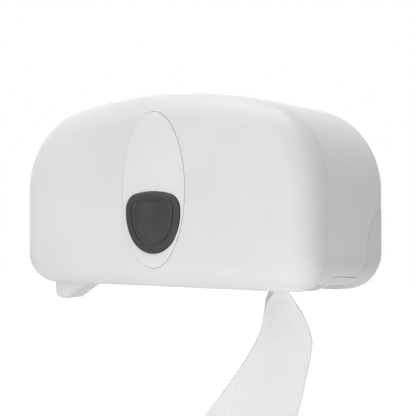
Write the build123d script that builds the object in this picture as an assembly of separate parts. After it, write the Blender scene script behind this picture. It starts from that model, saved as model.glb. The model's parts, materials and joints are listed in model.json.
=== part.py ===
from build123d import *
import math
import os

# Twin coreless toilet paper dispenser for a wall, all sizes in millimetres.
# Frame: wall plane at Y = 0, front toward -Y, X to the viewer's right, Z up,
# origin in the middle of the four wall screw holes.

# Housing outline, the same family of curves at the front crease and at the wall
half_width_crease = 149.0
half_width_rear = 155.0
top_crease = 83.8
top_rear = 84.3
bottom_crease = -82.0
bottom_rear = -85.6
bottom_radius_crease = 28.2
bottom_radius_rear = 33.9
corner_radius = 74.4
top_radius = 447.8

# Depths along Y
front_y = -125.0
crease_y = -99.0
front_edge_radius = 23.0
cover_rear_y = -0.6
wall_thickness = 2.5
crease_groove_depth = 0.45
crease_groove_width = 0.7

# Seam between the cover and the chassis
seam_gap = 0.5
ear_front_y = -26.6
floor_front_y = -78.0

# Paper exit and sliding shutter
exit_half_width = 138.5
exit_front_y = -97.0
exit_rear_y = -21.0
exit_corner_radius = 5.0
crossbar_depth = 4.0
shutter_bottom_z = -78.6
shutter_thickness = 2.0
shutter_left_x = -131.0
shutter_length = 128.0
shutter_front_y = -96.0
shutter_rear_y = -13.0

# Oval insert and thumb button
oval_centre_z = 1.0
oval_half_width = 32.0
oval_half_height = 66.5
oval_gap = 0.4
insert_thickness = 2.2
insert_crown_radius = 1100.0
insert_crown_y = -125.7
button_front_y = -127.0
button_back_y = -119.5
button_gap = 0.5
button_axis_z = -27.0
well_floor_y = -115.7
well_back_y = -113.5
stem_radius = 3.5
stem_hole_radius = 4.0
bracket_screw_places = [(-18.0, -22.0), (18.0, -22.0)]
insert_screw_heights = (58.0, -60.0)

# Hinge under the top rear edge
hinge_y = -10.5
hinge_z = 75.5
hinge_pin_radius = 1.5
hinge_hole_radius = 1.56
knuckle_radius = 3.2
hinge_centres_x = (-32.0, 32.0)
notch_half_width = 76.0
notch_front_y = -15.5

# Back plate and wall screw holes
plate_thickness = 3.0
plate_inset = 5.6
plate_top_drop = 8.6
screw_spacing_x = 220.0
screw_spacing_z = 100.0
screw_hole_radius = 2.75

# Rolls and their spindles
roll_centre_x = 75.0
roll_centre_z = -0.5
roll_radius = 65.0
roll_width = 92.0
roll_rear_y = -10.5
hub_radius = 9.5
hub_bore_radius = 5.06
spindle_radius = 5.0
spindle_front_y = -108.0

# Latch on the middle post
post_half_width = 6.0
post_front_y = -96.0
post_top_z = -8.0
post_bottom_z = -34.0


def front_plane(y):
    return Plane(origin=(0, y, 0), x_dir=(1, 0, 0), z_dir=(0, -1, 0))


def side_plane(x):
    return Plane(origin=(x, 0, 0), x_dir=(0, 1, 0), z_dir=(1, 0, 0))


def depth_prism(face, y_rear, y_front):
    return extrude(front_plane(y_rear) * face, amount=y_rear - y_front)


def width_prism(face, x_low, x_high):
    return extrude(side_plane(x_low) * face, amount=x_high - x_low)


def block(x_range, y_range, z_range):
    size = [high - low for low, high in (x_range, y_range, z_range)]
    middle = [(high + low) / 2 for low, high in (x_range, y_range, z_range)]
    return Pos(*middle) * Box(*size)


def rod_along_y(radius, x, z, y_rear, y_front):
    return depth_prism(Pos(x, z) * Circle(radius), y_rear, y_front)


def rod_along_x(radius, y, z, x_low, x_high):
    return width_prism(Pos(y, z) * Circle(radius), x_low, x_high)


def ring_along_y(inner, outer, x, z, y_rear, y_front):
    ring = Circle(outer) - Circle(inner)
    return depth_prism(Pos(x, z) * ring, y_rear, y_front)


def profile(*points):
    return make_face(Polyline(*points, close=True))


# Housing shapes


def outline(half_width, top, bottom, r_bottom, r_corner, r_top):
    """Flattened arch: level bottom, rounded lower corners, upright sides, arched top."""
    corner_x = half_width - r_corner
    top_centre_z = top - r_top
    reach = r_top - r_corner
    corner_z = top_centre_z + math.sqrt(reach**2 - corner_x**2)
    lean = math.atan2(corner_z - top_centre_z, corner_x)
    tangent_x = r_top * math.cos(lean)
    tangent_z = top_centre_z + r_top * math.sin(lean)
    shoulder_x = corner_x + r_corner * math.cos(lean / 2)
    shoulder_z = corner_z + r_corner * math.sin(lean / 2)
    flat = half_width - r_bottom
    low_z = bottom + r_bottom
    low_mid = r_bottom * math.sqrt(0.5)
    edges = [Line((-flat, bottom), (flat, bottom))]
    edges.append(ThreePointArc((flat, bottom), (flat + low_mid, low_z - low_mid), (half_width, low_z)))
    edges.append(Line((half_width, low_z), (half_width, corner_z)))
    edges.append(ThreePointArc((half_width, corner_z), (shoulder_x, shoulder_z), (tangent_x, tangent_z)))
    edges.append(ThreePointArc((tangent_x, tangent_z), (0, top), (-tangent_x, tangent_z)))
    edges.append(ThreePointArc((-tangent_x, tangent_z), (-shoulder_x, shoulder_z), (-half_width, corner_z)))
    edges.append(Line((-half_width, corner_z), (-half_width, low_z)))
    edges.append(ThreePointArc((-half_width, low_z), (-flat - low_mid, low_z - low_mid), (-flat, bottom)))
    return make_face(Wire(edges))


def crease_outline(inset):
    return outline(
        half_width_crease - inset,
        top_crease - inset,
        bottom_crease + inset,
        bottom_radius_crease - inset,
        corner_radius - inset,
        top_radius - inset,
    )


def rear_outline(inset, top_drop=0.0):
    return outline(
        half_width_rear - inset,
        top_rear - inset - top_drop,
        bottom_rear + inset,
        bottom_radius_rear - inset,
        corner_radius - inset,
        top_radius - inset,
    )


def housing_body(inset):
    """Solid housing: rounded front block to the crease, then sides that widen to the wall."""
    rear_face = front_plane(0) * rear_outline(inset)
    crease_face = front_plane(crease_y) * crease_outline(inset)
    band = loft([rear_face, crease_face], ruled=True)
    front_block = depth_prism(crease_outline(inset), crease_y, front_y + inset)
    front_rim = front_block.edges().group_by(Axis.Y)[0]
    front_block = fillet(front_rim, radius=front_edge_radius - inset)
    return band + front_block


def housing_cavity():
    """Inside of the housing: moulding draft along the depth, two bevels behind the rounded front edge."""
    draft = math.degrees(math.atan2(bottom_crease - bottom_rear, -crease_y))
    drafted = extrude(front_plane(crease_y) * crease_outline(wall_thickness), amount=crease_y, taper=-draft)
    level = outline(
        half_width_rear + 5,
        top_crease - wall_thickness,
        bottom_rear - 20,
        bottom_radius_rear,
        corner_radius - wall_thickness + half_width_rear + 5 - half_width_crease + wall_thickness,
        top_radius - wall_thickness,
    )
    cavity = drafted & depth_prism(level, 1, crease_y)
    bevel_radius = front_edge_radius - wall_thickness
    turned = 0
    for angle in (45, 90):
        start = math.radians(turned)
        end = math.radians(angle)
        inset = wall_thickness + bevel_radius * (1 - math.cos(start))
        near_y = front_y + front_edge_radius - bevel_radius * math.sin(start)
        depth = bevel_radius * (math.sin(end) - math.sin(start))
        slope = (turned + angle) / 2
        cavity += extrude(front_plane(near_y) * crease_outline(inset), amount=depth, taper=slope)
        turned = angle
    cavity += depth_prism(crease_outline(wall_thickness), crease_y, front_y + front_edge_radius)
    return cavity


def chassis_zone(grow):
    """Side profile of the chassis pieces that are flush with the cover: ears and floor."""
    front = ear_front_y - grow
    nose = floor_front_y - grow
    edges = [Line((3, -14.4 + grow), (-2.4, -15.7 + grow))]
    edges.append(ThreePointArc((-2.4, -15.7 + grow), (-17.4 - 0.7 * grow, -25.1 + 0.7 * grow), (front, -50)))
    edges.append(Line((front, -50), (front, -58)))
    edges.append(ThreePointArc((front, -58), (front - 2.2, -67.5 + 0.6 * grow), (front - 8, -73.2 + grow)))
    edges.append(Line((front - 8, -73.2 + grow), (nose + 4, -70.6 + grow)))
    edges.append(ThreePointArc((nose + 4, -70.6 + grow), (nose + 1.2, -71.7 + grow), (nose, -74.4)))
    edges.append(Line((nose, -74.4), (nose, -96)))
    edges.append(Line((nose, -96), (3, -96)))
    edges.append(Line((3, -96), (3, -14.4 + grow)))
    return width_prism(make_face(Wire(edges)), -170, 170)


def exit_cut(y_front, y_rear, z_low, z_high):
    """Rounded slot for the paper, cut upward through the bottom of the housing."""
    depth = y_rear - y_front
    slot = RectangleRounded(2 * exit_half_width, depth, exit_corner_radius)
    plane = Plane(origin=(0, (y_front + y_rear) / 2, z_low))
    return extrude(plane * slot, amount=z_high - z_low)


def shield(grow=0.0):
    """Thumb button outline: level top, full shoulders, sides closing to a round bottom."""
    top_arc = TangentArc((0, -0.6), (17.5, -2.7), tangent=(1, 0))
    shoulder = TangentArc((17.5, -2.7), (27.2, -14), tangent=top_arc % 1)
    side = TangentArc((27.2, -14), (21.5, -40), tangent=shoulder % 1)
    toe = TangentArc((21.5, -40), (0, -52.5), tangent=side % 1)
    half = [top_arc, shoulder, side, toe]
    other = [mirror(edge, about=Plane.YZ) for edge in half]
    face = make_face(Wire([edge.edge() for edge in half + other]))
    if grow:
        face = offset(face, amount=grow)
    return face


outer_body = housing_body(0)
shell = outer_body - housing_cavity()
crease_ring = depth_prism(crease_outline(-2), crease_y + crease_groove_width / 2, crease_y - crease_groove_width / 2)
crease_ring -= depth_prism(crease_outline(crease_groove_depth), crease_y + 1, crease_y - 1)


# Chassis: back plate, ears, floor, middle post, rails and hinge knuckles


def chassis_knuckle(x):
    """Hinge eye on a gusset that rises from the top edge of the back plate."""
    arm = profile((-1, 55), (-1, 71), (-8, 76.5), (hinge_y, hinge_z), (-13.6, 75), (-13.6, 72), (-6, 58))
    part = width_prism(arm, x - 8, x + 8)
    part += rod_along_x(knuckle_radius, hinge_y, hinge_z, x - 8, x + 8)
    return part


def make_chassis():
    zone = chassis_zone(0)
    part = depth_prism(rear_outline(plate_inset, plate_top_drop), 0, -plate_thickness)
    flush_rim = outer_body & zone
    part += flush_rim & block((-170, 170), (-plate_thickness, 0), (-100, 0))
    part += shell & zone
    rim = depth_prism(rear_outline(plate_inset + 1.0, plate_top_drop), -plate_thickness, -9)
    rim -= depth_prism(rear_outline(plate_inset + 3.2, plate_top_drop), -2, -10)
    rim -= block((-170, 170), (-12, 1), (-100, -60))
    part += rim
    for x in (-roll_centre_x, roll_centre_x):
        part += rod_along_y(16, x, roll_centre_z, -2, -6)
        for angle in (35, 145, 215, 325):
            rib = Pos(x, roll_centre_z) * Rot(0, 0, angle) * Pos(24, 0) * Rectangle(26, 2)
            part += depth_prism(rib, -2, -5)
    post = block((-post_half_width, post_half_width), (post_front_y, -2), (post_bottom_z, post_top_z))
    post -= block((-10, -2), (post_front_y + 8, -12), (post_bottom_z + 3, post_top_z - 3))
    post -= block((2, 10), (post_front_y + 8, -12), (post_bottom_z + 3, post_top_z - 3))
    part += post
    for x in (-8, 6):
        part += width_prism(profile((-2, -70), (-2, 30), (-9, 22), (-16, post_top_z), (-16, -36), (-9, -66)), x, x + 2)
    rail = block((-131, 131), (-23, -9.6), (-84, -79.0))
    rail += block((-131, 131), (-12.5, -9.6), (-84, -74.2))
    rail += block((-131, 131), (-19, -9.6), (-76.2, -74.2))
    part += rail & outer_body
    crossbar = block((-128, 128), (floor_front_y, floor_front_y + crossbar_depth), (-82, -79.0))
    part += crossbar & outer_body
    part -= exit_cut(floor_front_y + crossbar_depth, exit_rear_y, -92, -60) & block((-170, 170), (-110, -21), (-92, -60))
    part -= block((-131.5, 131.5), (-100, -12.5), (-79.0, -76.2))
    part -= block((-131.5, 131.5), (-100, -19), (-79.0, -70))
    for x in hinge_centres_x:
        part += chassis_knuckle(x)
        part -= rod_along_x(hinge_hole_radius, hinge_y, hinge_z, x - 20, x + 20)
    for x in (-screw_spacing_x / 2, screw_spacing_x / 2):
        for z in (-screw_spacing_z / 2, screw_spacing_z / 2):
            part -= rod_along_y(screw_hole_radius, x, z, 1, -10)
    for x in (-roll_centre_x, roll_centre_x):
        part -= rod_along_y(2.2, x, roll_centre_z, 1, -8)
        part -= rod_along_y(4.8, x, roll_centre_z, 1, -2.2)
    part -= rod_along_z_hole(0, -70, post_top_z + 1, 9, 1.1)
    return part


def rod_along_z_hole(x, y, z_top, depth, radius):
    return extrude(Plane(origin=(x, y, z_top - depth)) * Circle(radius), amount=depth)


# Cover: hinged shell with the oval pocket, the button well and hinge eyes


def oval(half_width, half_height):
    return Pos(0, oval_centre_z) * Ellipse(half_width, half_height)


def cover_knuckle(x_low, x_high):
    arm = profile((hinge_y, 72.3), (-14, 72.3), (-26, 80), (-26, 86), (-16, 86), (-16, 79.2), (hinge_y, 78.7))
    part = width_prism(arm, x_low, x_high) & housing_body(1.0)
    part += rod_along_x(knuckle_radius, hinge_y, hinge_z, x_low, x_high)
    return part


def make_cover():
    part = shell - crease_ring
    part -= block((-170, 170), (cover_rear_y, 5), (-100, 100))
    part -= chassis_zone(seam_gap)
    part -= exit_cut(exit_front_y, floor_front_y + 10, -92, -60)
    part -= block((-notch_half_width, notch_half_width), (notch_front_y, 5), (60, 100))
    pad = depth_prism(oval(oval_half_width + 4, oval_half_height + 4), -119.5, front_y)
    part += pad & housing_body(1.0)
    part += depth_prism(shield(3.0), well_back_y, front_y + 1)
    part -= depth_prism(oval(oval_half_width, oval_half_height), front_y + insert_thickness, front_y - 5)
    part -= depth_prism(shield(button_gap), well_floor_y, front_y - 5)
    part -= rod_along_y(stem_hole_radius, 0, button_axis_z, -110, front_y)
    for x in (-20, 20):
        part += depth_prism(Pos(x, 30) * Rectangle(1.6, 60), -118.5, -120)
    for z in insert_screw_heights:
        part += rod_along_y(3.2, 0, z, -114.5, -120)
    for x in hinge_centres_x:
        part += cover_knuckle(x - 17, x - 8.5)
        part += cover_knuckle(x + 8.5, x + 17)
        part -= rod_along_x(hinge_pin_radius, hinge_y, hinge_z, x - 17, x + 17)
    for x, z in bracket_screw_places:
        part -= rod_along_y(0.9, x, z, well_back_y + 1, well_back_y - 1.8)
    for z in insert_screw_heights:
        part -= rod_along_y(1.1, 0, z, -114, -122.8)
    return part


def make_insert():
    part = depth_prism(oval(oval_half_width - oval_gap, oval_half_height - oval_gap), front_y + insert_thickness, -128)
    crown = Plane(origin=(0, insert_crown_y + insert_crown_radius, -80)) * Circle(insert_crown_radius)
    part &= extrude(crown, amount=160)
    part &= housing_body(-0.4)
    part -= depth_prism(shield(button_gap), -110, -130)
    for z in insert_screw_heights:
        part -= rod_along_y(0.9, 0, z, front_y + insert_thickness + 1, front_y + 0.7)
    return part


def dish_outline(grow):
    """Narrower copy of the button outline for the dished recess."""
    centred = Pos(0, 26.6) * offset(shield(), amount=grow)
    return Pos(0, -26.6) * scale(centred, by=(0.86, 1, 1))


def make_button():
    part = depth_prism(shield(), button_back_y, button_front_y)
    part = chamfer(part.edges().group_by(Axis.Y)[0], length=0.9)
    part -= depth_prism(offset(shield(), amount=-3), button_back_y + 1, button_back_y - 3.6)
    groove = depth_prism(offset(shield(), amount=-5.6), button_front_y + 0.7, button_front_y - 1)
    groove -= depth_prism(offset(shield(), amount=-6.4), button_front_y + 1, button_front_y - 2)
    part -= groove
    floor_outline = dish_outline(-7.6)
    dish = depth_prism(floor_outline, button_front_y + 3.0, button_front_y - 1)
    dish_cut = extrude(Plane(origin=(0, button_front_y - 34, -60)) * Circle(36.2), amount=70)
    part -= dish & dish_cut
    lip_rear = front_plane(button_front_y + 0.9) * floor_outline
    lip_front = front_plane(button_front_y - 0.2) * dish_outline(-6.7)
    part -= loft([lip_rear, lip_front], ruled=True)
    part += rod_along_y(stem_radius, 0, button_axis_z, -110.9, button_back_y - 4.2)
    finger = profile((-110.9, -30), (-110.9, -12.4), (-110.2, -12), (-108.4, -15.5), (-108.4, -30))
    part += width_prism(finger, -2.2, 2.2)
    return part


def make_button_spring():
    """Compression coil between the well floor and the button's back."""
    wire = 0.65
    radius = 6.0
    pitch = 1.6
    turns = 3.75
    steps_per_turn = 14
    points = []
    for step in range(int(turns * steps_per_turn) + 1):
        angle = 2 * math.pi * step / steps_per_turn
        points.append((radius * math.cos(angle), radius * math.sin(angle), pitch * step / steps_per_turn))
    coil = Polyline(*points)
    section = Plane(origin=coil @ 0, z_dir=coil % 0) * Rectangle(wire, wire)
    spring = sweep(section, path=coil, transition=Transition.RIGHT)
    place = Plane(origin=(0, well_floor_y - 0.5, button_axis_z), x_dir=(1, 0, 0), z_dir=(0, -1, 0))
    return place * spring


def make_latch_bracket():
    """Screwed frame behind the well: guides the stem and carries the latch bar."""
    plate = Pos(0, -22) * RectangleRounded(44, 24, 4)
    part = depth_prism(plate, well_back_y + 2.2, well_back_y)
    part -= rod_along_y(stem_hole_radius, 0, button_axis_z, -100, well_back_y - 1)
    for side in (-1, 1):
        low, high = sorted((side * 7.3, side * 9.4))
        arm = profile((-112, -22), (-112, -9), (-99.8, -9), (-99.8, -14.5))
        part += width_prism(arm, low, high)
    part += block((-9.4, 9.4), (-102.3, -99.8), (-13.6, -9))
    for x, z in bracket_screw_places:
        part -= rod_along_y(1.5, x, z, -100, well_back_y - 1)
    return part


def screw(radius, head_radius, head_height, length):
    """Plain screw standing on its tip along Z: shank and flat head."""
    shank = Cylinder(radius, length, align=(Align.CENTER, Align.CENTER, Align.MIN))
    head = Pos(0, 0, length) * Cylinder(head_radius, head_height, align=(Align.CENTER, Align.CENTER, Align.MIN))
    return shank + head


def make_bracket_screws():
    screws = []
    for x, z in bracket_screw_places:
        place = Plane(origin=(x, well_back_y - 1.8, z), x_dir=(1, 0, 0), z_dir=(0, 1, 0))
        screws.append(place * screw(0.9, 2.4, 1.4, 4.0))
    return screws


def make_insert_screws():
    screws = []
    for z in insert_screw_heights:
        place = Plane(origin=(0, front_y + 0.7, z), x_dir=(1, 0, 0), z_dir=(0, 1, 0))
        screws.append(place * screw(0.9, 2.6, 1.4, 9.8))
    return screws


def make_catch_spring():
    """Bent strip on the post whose down-turned nose holds the latch bar."""
    path = Polyline((-64, post_top_z + 0.3), (-103.3, post_top_z + 0.3), (-104.2, -11.4), (-105.8, -14.4), (-109.2, -10.6))
    strip = make_face(offset(path, amount=0.3, side=Side.BOTH))
    part = width_prism(strip, -4, 4)
    part -= rod_along_z_hole(0, -70, post_top_z + 5, 10, 1.6)
    return part


def make_catch_screw():
    return Pos(0, -70, post_top_z - 6.4) * screw(1.1, 3.2, 1.7, 7.0)


def make_hinge_pins():
    return [rod_along_x(hinge_pin_radius, hinge_y, hinge_z, x - 17, x + 17) for x in hinge_centres_x]


# Spindles, hubs and rolls


def make_spindle(x):
    part = rod_along_y(spindle_radius, x, roll_centre_z, -6, spindle_front_y)
    part -= ring_along_y(4.1, 7, x, roll_centre_z, -104.8, -105.8)
    part -= rod_along_y(1.8, x, roll_centre_z, -5, -22)
    return part


def make_hub(x):
    """Turning sleeve with a rear flange and drive fins that grip the roll's hole."""
    part = ring_along_y(hub_bore_radius, hub_radius - 2.0, x, roll_centre_z, -7.8, -104.4)
    part += ring_along_y(hub_bore_radius, 20, x, roll_centre_z, -7.8, -9.8)
    for step in range(3):
        fin = Pos(x, roll_centre_z) * Rot(0, 0, 120 * step) * Pos(hub_radius - 1.6, 0) * Rectangle(3.2, 1.8)
        part += depth_prism(fin, -9, -103) & rod_along_y(hub_radius, x, roll_centre_z, -8, -104)
    return part


def make_roll(x):
    return ring_along_y(hub_radius, roll_radius, x, roll_centre_z, roll_rear_y, roll_rear_y - roll_width)


def make_brake_washers():
    return [ring_along_y(5.6, 12, x, roll_centre_z, -6, -7.4) for x in (-roll_centre_x, roll_centre_x)]


def make_spindle_clips():
    clips = []
    for x in (-roll_centre_x, roll_centre_x):
        ring = Circle(7.5) - Circle(4.1) - Pos(0, -6) * Rectangle(6.4, 10)
        clips.append(depth_prism(Pos(x, roll_centre_z) * ring, -104.9, -105.7))
    return clips


def make_spindle_screws():
    screws = []
    for x in (-roll_centre_x, roll_centre_x):
        place = Plane(origin=(x, -18, roll_centre_z), x_dir=(1, 0, 0), z_dir=(0, 1, 0))
        screws.append(place * screw(1.8, 4.4, 1.7, 15.8))
    return screws


# Shutter with the wedge grip


def make_shutter():
    right_x = shutter_left_x + shutter_length
    centre_x = (shutter_left_x + right_x) / 2
    centre_y = (shutter_front_y + shutter_rear_y) / 2
    plate = RectangleRounded(shutter_length, shutter_rear_y - shutter_front_y, 3)
    part = extrude(Plane(origin=(centre_x, centre_y, shutter_bottom_z)) * plate, amount=shutter_thickness)
    part += block((shutter_left_x + 4, right_x - 4), (-95, -93), (-77, -73.6))
    for x in (shutter_left_x + 3, centre_x - 1, right_x - 5):
        part += block((x, x + 2), (-94, -21), (-77, -73.6))
    edges = [Line((-130.6, -78), (-130.6, -90))]
    edges.append(ThreePointArc((-130.6, -90), (-127.8, -95.4), (-121.8, -97.8)))
    edges.append(ThreePointArc((-121.8, -97.8), (-119.4, -97.7), (-117.2, -96.6)))
    edges.append(Line((-117.2, -96.6), (-93, -81.6)))
    edges.append(Line((-93, -81.6), (-93, -78)))
    edges.append(Line((-93, -78), (-130.6, -78)))
    grip = depth_prism(make_face(Wire(edges)), -70, -95)
    grip -= block((-135, -90), (floor_front_y - 0.4, -60), (-83.4, -78.6))
    part += grip
    return part


def make_shutter_detent():
    """Leaf on the rear rail that bears on the shutter's rear edge."""
    leaf = ThreePointArc((-20, -9.0), (0, -5.6), (20, -9.0))
    return Pos(0, 0, -80) * extrude(make_face(offset(leaf, amount=0.3, side=Side.BOTH)), amount=5)


# Hanging paper tail: the end of the right roll's paper, gathered to a narrow channel in the exit,
# its middle toward the front right and both sides folded back, opening wide on the way down

paper_width = 92.0
paper_thickness = 1.2
tail_turn = math.degrees(0.601)
tail_x = 80.0
tail_y = -50.0
tail_levels = [
    (-67.5, -5.9, 6.4, -20.0),
    (-84.0, -6.0, 6.6, -20.0),
    (-97.0, -13.0, 14.0, -19.0),
    (-112.0, -15.8, 22.8, -17.0),
    (-128.0, -20.5, 27.8, -14.8),
    (-144.0, -30.0, 26.4, -12.4),
    (-178.0, -53.7, 20.0, -8.0),
    (-214.0, -72.0, 12.6, -4.0),
]


def tail_ring(z, left, right, front):
    """Corners of the tail at one level: front panel, and a side folded back at each of its ends."""
    plane = Plane(origin=(tail_x, tail_y, z), z_dir=(0, 0, 1)).rotated((0, 0, tail_turn))
    fold = (paper_width - (right - left)) / 2
    back = front + fold
    inner = front + paper_thickness
    corners = [(left, back), (left, front), (right, front), (right, back)]
    corners += [(right - paper_thickness, back), (right - paper_thickness, inner)]
    corners += [(left + paper_thickness, inner), (left + paper_thickness, back)]
    return [plane.from_local_coords((u, v, 0)) for u, v in corners]


def make_tail():
    rings = [tail_ring(*level) for level in tail_levels]
    faces = [profile(*rings[0]), profile(*rings[-1])]
    for upper, lower in zip(rings, rings[1:]):
        for near in range(len(upper)):
            far = (near + 1) % len(upper)
            faces.append(profile(upper[near], upper[far], lower[far], lower[near]))
    return Solid(Shell(faces))


pieces = {
    "chassis": make_chassis(),
    "cover_shell": make_cover(),
    "cover_insert": make_insert(),
    "release_button": make_button(),
    "button_spring": make_button_spring(),
    "latch_bracket": make_latch_bracket(),
    "bracket_screws": make_bracket_screws(),
    "insert_screws": make_insert_screws(),
    "catch_spring": make_catch_spring(),
    "catch_screw": make_catch_screw(),
    "hinge_pins": make_hinge_pins(),
    "spindle_left": make_spindle(-roll_centre_x),
    "spindle_right": make_spindle(roll_centre_x),
    "spindle_screws": make_spindle_screws(),
    "spindle_clips": make_spindle_clips(),
    "brake_washers": make_brake_washers(),
    "roll_hub_left": make_hub(-roll_centre_x),
    "roll_hub_right": make_hub(roll_centre_x),
    "roll_left": make_roll(-roll_centre_x),
    "roll_right": make_roll(roll_centre_x),
    "shutter": make_shutter(),
    "shutter_detent": make_shutter_detent(),
    "tissue_tail": make_tail(),
}

os.makedirs("parts", exist_ok=True)
for name, shape in pieces.items():
    if isinstance(shape, list):
        shape = Compound(children=[Compound(item.solids()) if len(item.solids()) > 1 else item.solid() for item in shape])
    export_step(shape, f"parts/{name}.step")
    print(name, round(shape.volume), "mm3")
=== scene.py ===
import json
import math

import bmesh
import bpy
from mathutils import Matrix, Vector, noise


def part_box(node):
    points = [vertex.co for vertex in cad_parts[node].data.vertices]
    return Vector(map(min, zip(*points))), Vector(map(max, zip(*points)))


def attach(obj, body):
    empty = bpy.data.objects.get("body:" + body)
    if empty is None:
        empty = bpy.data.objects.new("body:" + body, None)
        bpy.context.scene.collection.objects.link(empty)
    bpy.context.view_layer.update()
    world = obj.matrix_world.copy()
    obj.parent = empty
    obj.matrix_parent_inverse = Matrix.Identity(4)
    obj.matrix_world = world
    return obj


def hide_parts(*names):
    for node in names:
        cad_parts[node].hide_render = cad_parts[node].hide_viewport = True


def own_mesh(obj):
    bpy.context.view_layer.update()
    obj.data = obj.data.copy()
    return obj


# Looks of the twin coreless paper dispenser, in metres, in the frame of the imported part:
# wall plane at Y = 0, front toward -Y, Z up.

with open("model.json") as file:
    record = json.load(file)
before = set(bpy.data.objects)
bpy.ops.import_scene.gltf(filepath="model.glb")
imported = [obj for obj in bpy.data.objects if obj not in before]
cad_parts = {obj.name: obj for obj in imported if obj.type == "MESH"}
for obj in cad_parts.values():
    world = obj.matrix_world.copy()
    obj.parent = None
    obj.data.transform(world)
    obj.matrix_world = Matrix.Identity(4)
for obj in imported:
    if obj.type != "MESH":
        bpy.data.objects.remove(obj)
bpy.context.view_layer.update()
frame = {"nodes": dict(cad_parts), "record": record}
nodes = frame["nodes"]

# Camera, worked out from the outline of the housing in the photograph
camera_place = Vector((0.4755, -0.8185, -0.0207))
camera_turn = 0.5457
camera_rise = 0.0076
camera_lens = 86.15
sensor_width = 36.0

# Studio
floor_height = -0.42
floor_size = 9.0
floor_grey = 0.7
floor_glow = 0.75
sky_sides = {
    "front": {"toward": (0, -1, 0), "strength": 0.07},
    "up": {"toward": (0, 0, 1), "strength": 0.87},
    "right": {"toward": (1, 0, 0), "strength": -0.40},
}
lamp_aim = Vector((0, -0.06, 0))
lamps = {
    "key": {"place": (-0.9, -1.6, 1.1), "size": (1.6, 1.6), "power": 8.3},
    "top": {"place": (0.1, -0.2, 1.5), "size": (1.6, 1.2), "power": 12.5},
    "below": {"place": (0.1, -0.3, -0.40), "size": (1.6, 1.2), "power": 5.7},
}

# Hanging paper: its plane's place and turn, and its gathered form as (height, left, right, front)
paper_width = 0.092
paper_turn = 0.601
paper_place = Vector((0.080, -0.050, 0))
paper_levels = [
    (-0.060, -0.0059, 0.0064, -0.0200),
    (-0.084, -0.0062, 0.0068, -0.0200),
    (-0.094, -0.0120, 0.0124, -0.0192),
    (-0.104, -0.0146, 0.0189, -0.0182),
    (-0.116, -0.0166, 0.0246, -0.0165),
    (-0.128, -0.0212, 0.0278, -0.0148),
    (-0.144, -0.0299, 0.0264, -0.0124),
    (-0.161, -0.0409, 0.0232, -0.0102),
    (-0.178, -0.0537, 0.0200, -0.0080),
    (-0.191, -0.0640, 0.0168, -0.0066),
    (-0.214, -0.0735, 0.0126, -0.0040),
]
paper_end_z = -0.2135
paper_step = 0.0006
fold_radius = 0.0014
dimple_pitch = 0.0025
dimple_depth = 0.00018
paper_thickness = 0.0002
panel_hollow = 0.0006
panel_hollow_gathered = 0.0020

# Legs of the gathered paper, folded back on both sides of its panel
leg_inward = 0.05
leg_wave = 0.0016
leg_wave_turn = 420
leg_wave_over = 0.004
left_leg_lean = 0.135
right_leg_lean = 0.03
leg_lean_from = -0.088
leg_lean_over = 0.014

# Unevenness of the hanging paper: a soft sag over its face and a torn lower edge
sag_depth = 0.0011
sag_from = -0.09
sag_over = 0.03
tear_depth = 0.0004

# Edges of the button and the shutter
rounding_angle = math.radians(24)
flat_angle = math.radians(1.0)
weld_distance = 0.000002
button_rounding = 0.0004
shutter_rounding = 0.0006

# Moulded plastic: how far its tone drifts, and how its gloss varies
tone_scale = 14.0
gloss_scale = 60.0
gloss_drift = 0.04
plastic_ior = 1.49


# Materials


def new_material(name):
    material = bpy.data.materials.new(name)
    material.use_nodes = True
    tree = material.node_tree
    tree.nodes.clear()
    output = tree.nodes.new("ShaderNodeOutputMaterial")
    shader = tree.nodes.new("ShaderNodeBsdfPrincipled")
    tree.links.new(shader.outputs["BSDF"], output.inputs["Surface"])
    return material, tree, shader


def noise_node(tree, scale, detail=3.0, roughness=0.5):
    place = tree.nodes.new("ShaderNodeTexCoord")
    texture = tree.nodes.new("ShaderNodeTexNoise")
    texture.inputs["Scale"].default_value = scale
    texture.inputs["Detail"].default_value = detail
    texture.inputs["Roughness"].default_value = roughness
    tree.links.new(place.outputs["Object"], texture.inputs["Vector"])
    return texture.outputs["Fac"]


def spread(tree, value, low, high):
    """Stretches a texture's middle values over low to high."""
    node = tree.nodes.new("ShaderNodeMapRange")
    node.inputs["From Min"].default_value = 0.3
    node.inputs["From Max"].default_value = 0.7
    node.inputs["To Min"].default_value = low
    node.inputs["To Max"].default_value = high
    tree.links.new(value, node.inputs["Value"])
    return node.outputs["Result"]


def two_tone(tree, value, dark, light):
    node = tree.nodes.new("ShaderNodeMix")
    node.data_type = "RGBA"
    node.inputs["A"].default_value = (*dark, 1)
    node.inputs["B"].default_value = (*light, 1)
    tree.links.new(spread(tree, value, 0.0, 1.0), node.inputs["Factor"])
    return node.outputs["Result"]


def bump(tree, value, distance):
    node = tree.nodes.new("ShaderNodeBump")
    node.inputs["Distance"].default_value = distance
    tree.links.new(value, node.inputs["Height"])
    return node.outputs["Normal"]


def moulded_plastic(name, dark, light, roughness, grain_scale, grain_depth):
    """Injection moulded plastic: faint tone drift, fine moulded grain, uneven gloss."""
    material, tree, shader = new_material(name)
    tone = two_tone(tree, noise_node(tree, tone_scale, 2.0), dark, light)
    tree.links.new(tone, shader.inputs["Base Color"])
    gloss = spread(tree, noise_node(tree, gloss_scale, 4.0), roughness - gloss_drift, roughness + gloss_drift)
    tree.links.new(gloss, shader.inputs["Roughness"])
    grain = bump(tree, noise_node(tree, grain_scale, 2.0), grain_depth)
    tree.links.new(grain, shader.inputs["Normal"])
    shader.inputs["IOR"].default_value = plastic_ior
    return material


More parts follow.
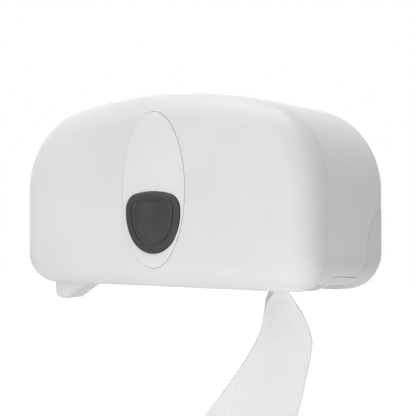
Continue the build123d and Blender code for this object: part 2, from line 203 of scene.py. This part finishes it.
def metal(name, dark, light, roughness):
    """Bright drawn or plated metal with a fine uneven skin."""
    material, tree, shader = new_material(name)
    tone = two_tone(tree, noise_node(tree, 220.0, 4.0), dark, light)
    tree.links.new(tone, shader.inputs["Base Color"])
    gloss = spread(tree, noise_node(tree, 500.0), roughness - 0.08, roughness + 0.1)
    tree.links.new(gloss, shader.inputs["Roughness"])
    skin = bump(tree, noise_node(tree, 900.0), 0.00003)
    tree.links.new(skin, shader.inputs["Normal"])
    shader.inputs["Metallic"].default_value = 1.0
    return material


def rubber(name, dark, light):
    """Dull dark rubber."""
    material, tree, shader = new_material(name)
    tone = two_tone(tree, noise_node(tree, 300.0), dark, light)
    tree.links.new(tone, shader.inputs["Base Color"])
    gloss = spread(tree, noise_node(tree, 400.0), 0.75, 0.95)
    tree.links.new(gloss, shader.inputs["Roughness"])
    return material


def paper(name, dark, light, pitch, depth):
    """Soft creped tissue with a regular embossed dimple pattern."""
    material, tree, shader = new_material(name)
    tone = two_tone(tree, noise_node(tree, 120.0, 5.0), dark, light)
    tree.links.new(tone, shader.inputs["Base Color"])
    place = tree.nodes.new("ShaderNodeTexCoord")
    cells = tree.nodes.new("ShaderNodeTexVoronoi")
    cells.inputs["Scale"].default_value = 1.0 / pitch
    cells.inputs["Randomness"].default_value = 0.35
    tree.links.new(place.outputs["Object"], cells.inputs["Vector"])
    dimples = bump(tree, cells.outputs["Distance"], depth)
    tree.links.new(dimples, shader.inputs["Normal"])
    gloss = spread(tree, noise_node(tree, 900.0), 0.85, 1.0)
    tree.links.new(gloss, shader.inputs["Roughness"])
    shader.inputs["Specular IOR Level"].default_value = 0.15
    shader.inputs["Sheen Weight"].default_value = 0.2
    return material


def grey(level):
    return (level, level, level)


# Slot: darkest tone, lightest tone, roughness, scale of the grain, depth of the grain
plastics = {
    "cover_white": (grey(0.76), grey(0.80), 0.34, 1800.0, 0.00002),
    "insert_white": (grey(0.79), grey(0.83), 0.335, 1800.0, 0.00002),
    "housing_grey": (grey(0.74), grey(0.78), 0.42, 1500.0, 0.00003),
    "shutter_white": (grey(0.78), grey(0.82), 0.38, 1500.0, 0.00003),
    "button_dark": ((0.030, 0.028, 0.025), (0.044, 0.041, 0.036), 0.36, 2200.0, 0.00004),
    "spindle_grey": ((0.40, 0.41, 0.42), (0.46, 0.47, 0.48), 0.5, 1500.0, 0.00003),
}
finishes = {slot: moulded_plastic(slot, *values) for slot, values in plastics.items()}
finishes["spring_steel"] = metal("spring_steel", (0.55, 0.55, 0.57), (0.66, 0.66, 0.68), 0.32)
finishes["zinc_steel"] = metal("zinc_steel", (0.62, 0.62, 0.64), (0.75, 0.75, 0.77), 0.38)
finishes["brake_rubber"] = rubber("brake_rubber", grey(0.035), grey(0.06))
finishes["tissue"] = paper("tissue", (0.92, 0.92, 0.91), (0.94, 0.94, 0.93), 0.0026, 0.0002)


def dress_nodes():
    """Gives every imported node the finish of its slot."""
    for subpart in frame["record"]["subparts"]:
        node = nodes[subpart["node"]]
        material = finishes[subpart["material_slot"]]
        for place in node.material_slots:
            place.material = material
        if not node.material_slots:
            node.data.materials.append(material)


# Mesh helpers


def new_piece(name, points, faces, slot, body, loops=None):
    """Object with smooth faces in the material of its slot, riding on a body; loops gives its UV map."""
    mesh = bpy.data.meshes.new(name)
    mesh.from_pydata([tuple(point) for point in points], [], faces)
    mesh.shade_smooth()
    if loops:
        layer = mesh.uv_layers.new(name="flat")
        for loop in mesh.loops:
            layer.data[loop.index].uv = loops[loop.vertex_index]
    mesh.materials.append(finishes[slot])
    piece = bpy.data.objects.new(name, mesh)
    bpy.context.collection.objects.link(piece)
    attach(piece, body)
    return piece


def grid_faces(rows, columns):
    """Four-sided faces over points that run row by row."""
    faces = []
    for row in range(rows - 1):
        for column in range(columns - 1):
            corner = row * columns + column
            faces.append((corner, corner + 1, corner + columns + 1, corner + columns))
    return faces


# Rigid pieces with their edges rounded as moulded ones are


def rounded_copy(node_name, body, slot, width, segments):
    """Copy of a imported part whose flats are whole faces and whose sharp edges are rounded."""
    mesh = nodes[node_name].data.copy()
    mesh.name = node_name + "_rounded"
    work = bmesh.new()
    work.from_mesh(mesh)
    bmesh.ops.remove_doubles(work, verts=work.verts, dist=weld_distance)
    bmesh.ops.dissolve_limit(work, angle_limit=flat_angle, verts=work.verts, edges=work.edges)
    sharp = [edge for edge in work.edges if edge.is_manifold and edge.calc_face_angle() > rounding_angle]
    bmesh.ops.bevel(
        work,
        geom=sharp,
        offset=width,
        segments=segments,
        profile=0.5,
        affect="EDGES",
        clamp_overlap=True,
        loop_slide=True,
    )
    work.to_mesh(mesh)
    work.free()
    mesh.shade_smooth()
    mesh.set_sharp_from_angle(angle=rounding_angle)
    mesh.materials.clear()
    mesh.materials.append(finishes[slot])
    piece = bpy.data.objects.new(node_name + "_rounded", mesh)
    bpy.context.collection.objects.link(piece)
    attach(piece, body)
    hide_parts(node_name)


# Coil behind the button


def make_pressed_spring():
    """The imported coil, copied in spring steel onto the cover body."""
    mesh = nodes["button_spring"].data.copy()
    mesh.name = "pressed_spring"
    mesh.materials.clear()
    mesh.materials.append(finishes["spring_steel"])
    piece = bpy.data.objects.new("pressed_spring", mesh)
    bpy.context.collection.objects.link(piece)
    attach(piece, "cover")
    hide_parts("button_spring")
    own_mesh(piece)


# Hanging paper


def level_at(height):
    """Left, right and front of the paper at a height, smoothly between the levels."""
    last = len(paper_levels) - 1
    for index in range(last):
        upper, lower = paper_levels[index], paper_levels[index + 1]
        if height >= lower[0] or index == last - 1:
            break
    before = paper_levels[max(index - 1, 0)]
    after = paper_levels[min(index + 2, last)]
    span = lower[0] - upper[0]
    share = min(max((height - upper[0]) / span, 0.0), 1.0)
    values = []
    for part in (1, 2, 3):
        slope_upper = (lower[part] - before[part]) / (lower[0] - before[0]) * span
        slope_lower = (after[part] - upper[part]) / (after[0] - upper[0]) * span
        square, cube = share * share, share**3
        value = (2 * cube - 3 * square + 1) * upper[part] + (cube - 2 * square + share) * slope_upper
        value += (3 * square - 2 * cube) * lower[part] + (cube - square) * slope_lower
        values.append(value)
    return values


def paper_section(along, height):
    """Place across the paper, as sideways and depth, where along runs from one free edge to the other."""
    left, right, front = level_at(height)
    panel = right - left
    fold = (paper_width - panel) / 2
    gather = fold / (paper_width / 2)
    middle = min(max(along - fold, 0.0), panel)
    hollow = panel_hollow + panel_hollow_gathered * gather
    depth = front + hollow * math.sin(math.pi * middle / panel)
    back = max(fold - along, along - fold - panel, 0.0)
    wave = leg_wave * gather * math.sin(back * leg_wave_turn) * min(back / leg_wave_over, 1.0)
    inward = leg_inward * back + wave
    lean = back * min(max((leg_lean_from - height) / leg_lean_over, 0.0), 1.0)
    side = left + middle
    if along < fold:
        side += left_leg_lean * lean + inward
    elif along > fold + panel:
        side += right_leg_lean * lean - inward
    return Vector((side, depth + back, 0))


def paper_point(along, height):
    """Point of the paper, with its folds rounded by taking the mean of the section around it."""
    total = Vector()
    for share in (-1.0, -0.5, 0.0, 0.5, 1.0):
        place = min(max(along + share * fold_radius, 0.0), paper_width)
        total += paper_section(place, height)
    side, depth, _ = total / 5
    sag = sag_depth * noise.noise(Vector((along * 26, height * 17, 0.4)))
    depth += sag * min(max((sag_from - height) / sag_over, 0.0), 1.0)
    across = Vector((math.cos(paper_turn), math.sin(paper_turn), 0))
    away = Vector((-math.sin(paper_turn), math.cos(paper_turn), 0))
    return paper_place + across * side + away * depth + Vector((0, 0, height))


roll_low, roll_high = (Vector(corner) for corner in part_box("roll_right"))
roll_middle = (roll_low + roll_high) / 2
roll_radius = (roll_high.x - roll_low.x) / 2


def roll_underside(x):
    """Height of the right roll's underside at a place across it."""
    return roll_middle.z - math.sqrt(max(roll_radius**2 - (x - roll_middle.x) ** 2, 0.0))


def emboss(along, down):
    """Height of the dimples in staggered rows."""
    wave = math.cos(2 * math.pi * along / dimple_pitch) * math.cos(2 * math.pi * down / dimple_pitch)
    return dimple_depth * max(wave, 0.0)


def make_paper():
    """Gathered sheet from the underside of the right roll down through the exit."""
    columns = int(paper_width / paper_step) + 1
    top = roll_underside(paper_place.x)
    rows = int((top - paper_end_z) / paper_step) + 1
    points = []
    flat = []
    starts = []
    ends = []
    for column in range(columns):
        along = paper_width * column / (columns - 1)
        starts.append(roll_underside(paper_point(along, top).x))
        ends.append(paper_end_z + tear_depth * noise.noise(Vector((along * 900, 1.7, 0))))
    for row in range(rows):
        share = row / (rows - 1)
        for column in range(columns):
            along = paper_width * column / (columns - 1)
            height = starts[column] + (ends[column] - starts[column]) * share
            points.append(paper_point(along, height))
            flat.append((along, -height))
    piece = new_piece("hanging_paper", points, grid_faces(rows, columns), "tissue", "wall_unit", flat)
    normals = [vertex.normal.copy() for vertex in piece.data.vertices]
    for vertex, normal, (along, down) in zip(piece.data.vertices, normals, flat):
        vertex.co += normal * emboss(along, down)
    body = piece.modifiers.new("thickness", "SOLIDIFY")
    body.thickness = paper_thickness
    body.offset = 0
    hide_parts("tissue_tail")
    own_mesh(piece)


# Studio


def math_node(tree, operation, first, second):
    """Result of two values, of which the second may be a plain number."""
    node = tree.nodes.new("ShaderNodeMath")
    node.operation = operation
    tree.links.new(first, node.inputs[0])
    if isinstance(second, float):
        node.inputs[1].default_value = second
    else:
        tree.links.new(second, node.inputs[1])
    return node.outputs[0]


def white_for_camera(tree, light_strength):
    """One for rays that end in the camera, a mirror or glass, and light_strength for the rest."""
    path = tree.nodes.new("ShaderNodeLightPath")
    seen = math_node(tree, "MAXIMUM", path.outputs["Is Camera Ray"], path.outputs["Is Glossy Ray"])
    seen = math_node(tree, "MAXIMUM", seen, path.outputs["Is Transmission Ray"])
    level = tree.nodes.new("ShaderNodeMapRange")
    tree.links.new(light_strength, level.inputs["To Min"])
    level.inputs["To Max"].default_value = 1.0
    tree.links.new(seen, level.inputs["Value"])
    return level.outputs["Result"]


def sky_strength(tree):
    """Soft light from above and in front that fades toward the right, as sky_sides says."""
    place = tree.nodes.new("ShaderNodeTexCoord")
    total = None
    for side in sky_sides.values():
        facing = tree.nodes.new("ShaderNodeVectorMath")
        facing.operation = "DOT_PRODUCT"
        facing.inputs[1].default_value = side["toward"]
        tree.links.new(place.outputs["Generated"], facing.inputs[0])
        turned = math_node(tree, "MAXIMUM", facing.outputs["Value"], 0.0)
        share = math_node(tree, "MULTIPLY", turned, side["strength"])
        total = share if total is None else math_node(tree, "ADD", total, share)
    return math_node(tree, "MAXIMUM", total, 0.0)


def make_world():
    """White surroundings for the camera and for mirrors, soft light for everything else."""
    world = bpy.data.worlds.new("studio")
    world.use_nodes = True
    tree = world.node_tree
    tree.nodes.clear()
    output = tree.nodes.new("ShaderNodeOutputWorld")
    sky = tree.nodes.new("ShaderNodeBackground")
    sky.inputs["Color"].default_value = (1, 1, 1, 1)
    tree.links.new(white_for_camera(tree, sky_strength(tree)), sky.inputs["Strength"])
    tree.links.new(sky.outputs["Background"], output.inputs["Surface"])
    bpy.context.scene.world = world


def make_floor():
    """Pale floor, lifted to white where the camera looks at it."""
    mesh = bpy.data.meshes.new("floor")
    half = floor_size / 2
    corners = [(-half, -half, floor_height), (half, -half, floor_height)]
    corners += [(half, half, floor_height), (-half, half, floor_height)]
    mesh.from_pydata(corners, [], [(0, 1, 2, 3)])
    floor = bpy.data.objects.new("floor", mesh)
    bpy.context.collection.objects.link(floor)
    material = bpy.data.materials.new("floor")
    material.use_nodes = True
    tree = material.node_tree
    tree.nodes.clear()
    output = tree.nodes.new("ShaderNodeOutputMaterial")
    both = tree.nodes.new("ShaderNodeAddShader")
    matt = tree.nodes.new("ShaderNodeBsdfDiffuse")
    matt.inputs["Color"].default_value = (*grey(floor_grey), 1)
    glow = tree.nodes.new("ShaderNodeEmission")
    path = tree.nodes.new("ShaderNodeLightPath")
    lift = math_node(tree, "MULTIPLY", path.outputs["Is Camera Ray"], floor_glow)
    tree.links.new(lift, glow.inputs["Strength"])
    tree.links.new(matt.outputs["BSDF"], both.inputs[0])
    tree.links.new(glow.outputs["Emission"], both.inputs[1])
    tree.links.new(both.outputs["Shader"], output.inputs["Surface"])
    mesh.materials.append(material)


def make_lamp(name, place, size, power):
    """Large soft lamp that faces lamp_aim and isn't seen itself."""
    data = bpy.data.lights.new(name, "AREA")
    data.shape = "RECTANGLE"
    data.size, data.size_y = size
    data.energy = power
    lamp = bpy.data.objects.new(name, data)
    lamp.location = place
    lamp.rotation_euler = (lamp_aim - Vector(place)).to_track_quat("-Z", "Y").to_euler()
    lamp.visible_camera = False
    bpy.context.collection.objects.link(lamp)


def make_camera():
    data = bpy.data.cameras.new("camera")
    data.sensor_width = sensor_width
    data.lens = camera_lens
    data.clip_start = 0.05
    camera = bpy.data.objects.new("camera", data)
    camera.location = camera_place
    flat = math.cos(camera_rise)
    view = Vector((-math.sin(camera_turn) * flat, math.cos(camera_turn) * flat, math.sin(camera_rise)))
    camera.rotation_euler = view.to_track_quat("-Z", "Y").to_euler()
    bpy.context.collection.objects.link(camera)
    bpy.context.scene.camera = camera


dress_nodes()
rounded_copy("release_button", "button", "button_dark", button_rounding, 3)
rounded_copy("shutter", "shutter", "shutter_white", shutter_rounding, 2)
make_pressed_spring()
make_paper()
make_world()
make_floor()
for lamp_name, lamp_values in lamps.items():
    make_lamp(lamp_name, **lamp_values)
make_camera()
bpy.context.scene.view_settings.view_transform = "Standard"
